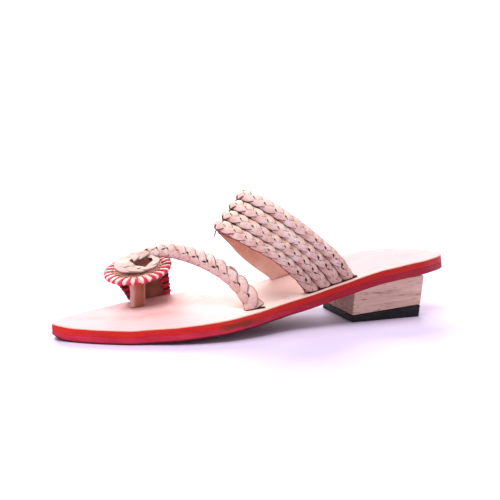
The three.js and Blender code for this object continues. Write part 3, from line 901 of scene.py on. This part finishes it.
def band_lining():
    """Leather backing of the four plaits, a little wider than them at its bases."""
    inner = -BRAID_THICKNESS / 2 - GAP - LINING_THICKNESS
    columns, steps = 14, 160
    t = np.linspace(0, 1, steps + 1)
    base = np.maximum(0, 1 - np.minimum(t, 1 - t) / 0.06)
    trimmed = 0.045 * ramped((t - 0.45) / 0.15)
    front, rear = ([take(dense, t * BAND_SAMPLES) for dense in band_frames(share)[::2]] for share in (0, 1))
    rows = []
    for depth, order in ((inner, 1), (inner + LINING_THICKNESS, -1)):
        for j in range(columns + 1)[::order]:
            share = j / columns
            sway = 0.006 * np.sin(t * 23 + 2 * share)
            low, high = 0.01 - 0.02 * base - trimmed + sway, 0.98 + 0.04 * base + sway
            at = mix(low, high, share)[:, None]
            centre, outward = (mix(a, b, at) for a, b in zip(front, rear))
            rounding = 0.25 if j in (0, columns) else 0.0
            rows.append(centre + unit(outward) * (depth + (rounding if depth == inner else -rounding)))
    flat, faces, count = shell(rows)
    rims = ({columns, columns + 1}, {0, count - 1})
    slots = [1 if len(face) > 4 or {i % count for i in face} in rims else 0 for face in faces]
    return new_mesh("instep_lining", flat, faces, [LINING, LINING_EDGE], slots)


def toe_strap_frames():
    """Dense frames of the plait across the toes and of its coil, in CAD's own rows."""
    sections = [(np.array(at, float), unit(face), width) for at, face, width in TOE_STRAP_ROWS]
    foot = sections[0][0]
    foot[2] = footbed(foot[0]) + GAP
    for dx, dy, height, width, face in COIL_ROWS:
        sections.append((over_medallion(dx, dy, height), unit(face), width))
    t = np.linspace(0, 1, STRAP_SAMPLES + 1)
    rows = np.arange(len(sections)) / (len(sections) - 1)
    centre = spline([s[0] for s in sections], t)
    face = np.stack([np.interp(t, rows, [s[1][n] for s in sections]) for n in range(3)], -1)
    along = unit(np.gradient(centre, axis=0))
    across = unit(np.cross(face, along))
    outward = unit(np.cross(along, across))
    twist = (STRAP_TWIST * np.exp(-((t - TWIST_AT) / TWIST_REACH) ** 4))[:, None]
    turned = across * np.cos(twist) - outward * np.sin(twist)
    outward = outward * np.cos(twist) + across * np.sin(twist)
    return centre, turned, outward, column(rows, [s[2] for s in sections])(t)


def toe_strap():
    centre, across, outward, width = toe_strap_frames()
    t = np.linspace(0, 1, len(centre))
    leaf = np.exp(-((t - LEAF_AT) / LEAF_SPREAD) ** 2)
    front = np.exp(-((t - FRONT_AT) / FRONT_SPREAD) ** 2)
    wider = leaf * LEAF_REACH - front * FRONT_TRIM
    rise = leaf * LEAF_LIFT - front * FRONT_SINK
    centre = centre - across * (wider / 2)[:, None] + outward * rise[:, None]
    line = even_line(centre, across, outward, width + wider)
    into_coil = ramped((line["share"] - COIL_START + 0.08) / 0.12)
    line["lean"] = STRAP_LEAN * (1 - into_coil)
    line["shaded"] = ramped((line["share"] - 0.6) / 0.04)
    line["pitch"] = np.interp(line["distance"], *STRAP_PITCH)
    return plait("toe_plait", line, TOE_FORM, 0.4, 6, PLAIT_COIL, mix(1.0, COIL_RELIEF, into_coil), 0.4)


# ---- medallion and toe loop


def medallion_point(angle, share, rise):
    """Point on or over the medallion: share of its radius, rise above its upper face."""
    x = MEDALLION_AT[0] + MEDALLION_HALF[0] * share * np.cos(angle)
    y = MEDALLION_AT[1] + MEDALLION_HALF[1] * share * np.sin(angle)
    return np.stack([x, y, medallion_top(x, y) + rise], -1)


def over_medallion(dx, dy, height):
    x, y = MEDALLION_AT[0] + dx, MEDALLION_AT[1] + dy
    return np.array([x, y, medallion_top(x, y) + height])


def medallion():
    """The disc, gently wavy. Its painted shade reaches further out on the inner side."""
    sectors = 120
    angle = 2 * np.pi * np.arange(sectors) / sectors
    rings = [medallion_point(angle, share, rise + 0.06 * np.sin(5 * angle + 7 * share))
             for share, rise in MEDALLION_SECTION]
    flat = np.array(rings).reshape(-1, 3)
    ring = [share - 0.25 * np.maximum(-np.sin(angle), 0) for share, _ in MEDALLION_SECTION]
    values = {"ring": np.concatenate(ring)}
    return new_mesh("medallion_disc", flat, body_faces(flat, len(rings)), [DISC], values=values)


def bar(path, across, width, thick, sides=8):
    """Points and faces of a soft-edged strip along a short path."""
    path = np.asarray(path, float)
    across = np.broadcast_to(across, path.shape)
    along = unit(np.gradient(path, axis=0))
    across = unit(across - along * np.sum(across * along, axis=-1, keepdims=True))
    taper = np.ones(len(path))
    taper[0] = taper[-1] = 0.7
    width = np.asarray(width) * taper
    section = flat_round(across, np.cross(along, across), width, thick * taper, sides, 0.75)
    points = (path[:, None] + section).reshape(-1, 3)
    return points, body_faces(points, len(path))


def rim_stitches():
    """Red thongs laced over the medallion's rim from a ring of slits, cream ones between."""
    parts = []
    for i in range(2 * RIM_PAIRS):
        red = i % 2 == 0
        angle = 2 * np.pi * (i + RNG.normal(0, 0.1)) / (2 * RIM_PAIRS)
        reach = (0.7 if red else 0.74) + RNG.normal(0, 0.014)
        lean = RNG.normal(0.03, 0.015)
        swell = 0.42 if red else 0.3
        profile = [(reach - 0.01, -0.1), (reach + 0.04, swell), (0.9, swell), (0.965, 0.05),
                   (0.99, -0.5), (0.99, -1.1), (0.97, -1.6), (0.91, -1.85), (0.84, -2.0)]
        path = [medallion_point(angle + lean * (share - reach) / (1 - reach), share, rise)
                for share, rise in profile]
        tangent = unit((-MEDALLION_HALF[0] * math.sin(angle), MEDALLION_HALF[1] * math.cos(angle), 0.0))
        sizes = np.array(RED_WIDTHS if red else CREAM_WIDTHS) * (1 + RNG.normal(0, 0.06))
        parts.append((*bar(path, tangent, sizes, 0.75), 0 if red else 1))
        if red:
            # Dark patch at the red thong's inner end: painted shade of its slit.
            spot = [medallion_point(angle, reach - k, 0.02) for k in (0.07, 0.05, 0.02, -0.01)]
            parts.append((*bar(spot, tangent, (0.7, 1.1, 1.3, 1.3), 0.3), 2))
    return assembled("medallion_stitches", parts, [RED, CREAM, HOLE_SHADE])


def coil_hole():
    """Awl hole through the coil's inner end, drawn as a dark patch of painted shade."""
    spot = [over_medallion(dx, dy, 6.1) for dx, dy in ((-8.9, 1.6), (-8.5, 1.8), (-7.9, 2.0), (-7.5, 2.2))]
    hole = bar(spot, (0.3, -1.0, 0.0), (0.8, 1.5, 1.5, 0.8), 0.5)
    return assembled("coil_hole", [(*hole, 0)], [HOLE_SHADE])


def loop_line(share, t):
    """The toe loop's middle line at one share of its width (0 rear edge, 1 front edge)."""
    rows = []
    for y, rise, rear, front in LOOP_ROWS:
        x = mix(rear, front, share)
        if y < MEDALLION_AT[1]:
            edge = float(sole_middle(x + SOLE_LENGTH / 2) - sole_half(x + SOLE_LENGTH / 2))
            y = max(y, edge + LOOP_WALL_SETBACK - 2 * rise)
        roof = float(medallion_top(x, y)) - MEDALLION_THICKNESS - GAP - LOOP_THICKNESS / 2
        rows.append((x, y, mix(float(footbed(x)) + GAP, roof, rise)))
    return spline(rows, t)


def loop_surface(steps, columns):
    t = np.linspace(0, 1, steps + 1)
    lines = np.array([loop_line(j / columns, t) for j in range(columns + 1)])
    across = unit(np.gradient(lines, axis=0))
    along = unit(np.gradient(lines, axis=1))
    return lines, across, along, unit(np.cross(across, along))


def toe_loop():
    steps, columns = 120, 10
    lines, across, _, outward = loop_surface(steps, columns)
    half = LOOP_THICKNESS / 2
    rows, ring = [], []
    for side in (-1, 1):
        for j in range(columns + 1)[::-side]:
            flattened = 0.55 if j in (0, columns) else 1.0
            rows.append(lines[j] + outward[j] * side * half * flattened)
            ring.append(j / columns)
        edge = columns if side < 0 else 0
        rows.append(lines[edge] - across[edge] * 0.35 * side)
        ring.append(edge / columns)
    flat, faces, count = shell(rows)
    slots = []
    for face in faces:
        used = {i % count for i in face}
        station = min(face) // count / steps
        rim = bool(used & {columns + 1, count - 1})
        inside = max(used) <= columns
        slots.append(1 if rim and station > 0.7 else 2 if inside and station < 0.62 else 0)
    values = {"breadth": np.tile(ring, steps + 1)}
    return new_mesh("toe_loop_leather", flat, faces, [LOOP_TAN, LOOP_EDGE, LOOP_DARK], slots, values=values)


def loop_stitches():
    """Thongs whipped over both long edges of the loop's wide wall."""
    steps, columns = 160, 10
    lines, across, along, outward = loop_surface(steps, columns)
    half = LOOP_THICKNESS / 2 + GAP
    parts = []
    for edge, sign in ((0, -1), (columns, 1)):
        for i in range(LOOP_STITCHES):
            share = LOOP_STITCH_START + LOOP_STITCH_SHARE * (i + 0.5) / LOOP_STITCHES
            station = int(share * steps)
            centre, out = lines[edge][station], sign * across[edge][station]
            side, up = outward[edge][station], along[edge][station]
            red = i % 2 == 0
            depth = (5.4 if red else 4.2) + RNG.normal(0, 0.3)
            # Out of the wall, round its edge and in again: reach past the edge, side, slant.
            turns = ((-depth, -0.7, 0), (0.8 - depth, -1, 0), (-0.8, -1, 0.35), (0.35, -0.5, 0.7),
                     (0.35, 0.5, 0.7), (-0.8, 1, 0.7), (0.8 - depth, 1, 0), (-depth, 0.7, 0))
            path = [centre + out * reach + side * half * over + up * slant for reach, over, slant in turns]
            parts.append((*bar(path, up, 2.0 if red else 1.2, 0.8 if red else 0.5), 0 if red else 1))
    return assembled("toe_loop_stitches", parts, [RED_DEEP, RED_SHADE])


def lining_feet_and_shadow_strip():
    """Dark cut ends of the lining on the sole below the instep plaits' ends, partly painted shade there,
    and a painted shadow strip on the sole below the toe plait's foot.
    """
    parts = []
    for end in (0, -1):
        path = []
        for share in np.linspace(-0.01, 1.03, 30):
            x, y, _ = mix(BAND_FRONT[end], BAND_BACK[end], share)
            path.append((x, y + 0.2 * math.sin(9 * share), float(footbed(x)) + SKIN + FOOT_HEIGHT / 2))
        parts.append((*bar(path, (0.0, 1.0, 0.0), 4.2, FOOT_HEIGHT, 12), 0))
    # Painted shadow: a thin dark strip on the sole just in front of the toe plait's foot.
    centre, across, _, width = toe_strap_frames()
    run = unit(across[0] * (1, 1, 0))
    path = []
    for share in np.linspace(-0.46, 0.42, 12):
        x, y, _ = centre[0] + run * width[0] * share
        path.append((x, y + 0.4, float(footbed(x)) + 0.25))
    parts.append((*bar(path, (0.0, 1.0, 0.0), 4.0, 0.4, 12), 0))
    return assembled("lining_feet_and_shadow_strip", parts, [LINING_EDGE])


def frayed_ends():
    """Loose ends: a sliver hanging at the front plait's crown, a flap on the plait over the toes."""
    sliver = [(19.0, -13.4, 57.6), (19.8, -13.2, 56.4), (20.4, -13.0, 54.6), (20.5, -12.8, 52.6)]
    sliver = bar(sliver, (0.6, 0.8, 0.0), (2.4, 2.4, 1.6, 0.7), 0.6, 6)
    centre, across, outward, width = (dense[list(FLAP_ROWS)] for dense in toe_strap_frames())
    flap = centre - across * (width * 0.42)[:, None] + outward * FLAP_LIFT[:, None]
    flap = bar(flap, unit(outward - across), (1.0, 1.5, 1.3, 0.7), 0.5, 6)
    return assembled("frayed_ends", [(*sliver, 0), (*flap, 0)], [FRAY])


# ---- pieces on their bodies


def put(piece, slot, *nodes):
    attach(piece, "root")
    if nodes:
        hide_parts(*nodes)
    return piece


put(sole_layer("footbed_sole", SOLE_LAYER + SKIN, 2 * SOLE_LAYER + GAP, FOOTBED, EDGE_UPPER, FOOTBED, 0.3),
    "upper_sole_leather", "insole")
put(sole_layer("lower_sole", 0.0, SOLE_LAYER, SOLE_BOTTOM, EDGE_LOWER, SOLE_BOTTOM, 2.2),
    "lower_sole_leather", "outsole")
put(heel_piece("wooden_heel", lift_top, lambda x: underside(x) - GAP, WOOD, 14, 0.6),
    "heel_wood", "heel_block")
put(heel_piece("rubber_lift", lambda x: 0.0, lambda x: lift_top(x) - GAP, RUBBER, 1, 0.5),
    "heel_rubber", "heel_lift")
for number in range(BRAID_COUNT):
    put(instep_braid(number), "plait_leather", f"braid_{number + 1}")
put(band_lining(), "lining_leather", "band_lining")
put(lining_feet_and_shadow_strip(), "lining_leather")
put(toe_strap(), "plait_leather", "toe_strap")
put(medallion(), "medallion_leather", "toe_medallion")
put(rim_stitches(), "medallion_leather")
put(coil_hole(), "plait_leather")
put(toe_loop(), "loop_leather", "toe_loop")
put(loop_stitches(), "loop_leather")
put(frayed_ends(), "plait_leather")

# ---- camera, floor and light

CAMERA_TURN = math.radians(20.9)
CAMERA_RISE = math.radians(10.7)
CAMERA_ROLL = math.radians(-0.13)
CAMERA_DISTANCE = 1.0
CAMERA_LENS = 116.9
CAMERA_AIM = (np.array([2.6, 1.5, 46.1]) + SHIFT) * MM
# Soft lights: name, where each comes from, strength, spread in degrees.
LIGHTS = (("back", (-0.12, -0.88, 0.44), 4.2, 36), ("top", (0.2, 0.0, 0.98), 2.85, 56))
SKY_COLOUR, SKY_STRENGTH = (0.93, 0.89, 1.0, 1), 0.44
FLOOR_REACH = 30.0


def camera():
    level = math.cos(CAMERA_RISE)
    back = np.array([level * math.sin(CAMERA_TURN), level * math.cos(CAMERA_TURN), math.sin(CAMERA_RISE)])
    right = np.array([-math.cos(CAMERA_TURN), math.sin(CAMERA_TURN), 0])
    up = np.cross(right, -back)
    c, s = math.cos(CAMERA_ROLL), math.sin(CAMERA_ROLL)
    data = bpy.data.cameras.new("camera")
    data.lens = CAMERA_LENS
    place = np.eye(4)
    place[:3, 0], place[:3, 1], place[:3, 2] = c * right + s * up, c * up - s * right, back
    place[:3, 3] = CAMERA_AIM + CAMERA_DISTANCE * back
    eye = linked("camera", data)
    eye.matrix_world = Matrix(place.tolist())
    bpy.context.scene.camera = eye


def studio():
    floor = bpy.data.meshes.new("floor")
    corners = [(x * FLOOR_REACH, y * FLOOR_REACH, 0) for x, y in ((-1, -1), (1, -1), (1, 1), (-1, 1))]
    floor.from_pydata(corners, [], [(0, 1, 2, 3)])
    floor.materials.append(Finish("floor", 0.75, 0.2).finish("#d9cce6"))
    ground = linked("floor", floor)
    world = bpy.data.worlds.new("studio")
    bpy.context.scene.world = world
    world.use_nodes = True
    sky = world.node_tree.nodes["Background"].inputs
    sky[0].default_value, sky[1].default_value = SKY_COLOUR, SKY_STRENGTH
    for name, source, energy, spread in LIGHTS:
        sun = bpy.data.lights.new(name, "SUN")
        sun.energy = energy
        sun.angle = math.radians(spread)
        linked(name, sun).rotation_euler = Vector(source).to_track_quat("Z", "Y").to_euler()


camera()
studio()
bpy.context.scene.view_settings.view_transform = "Standard"
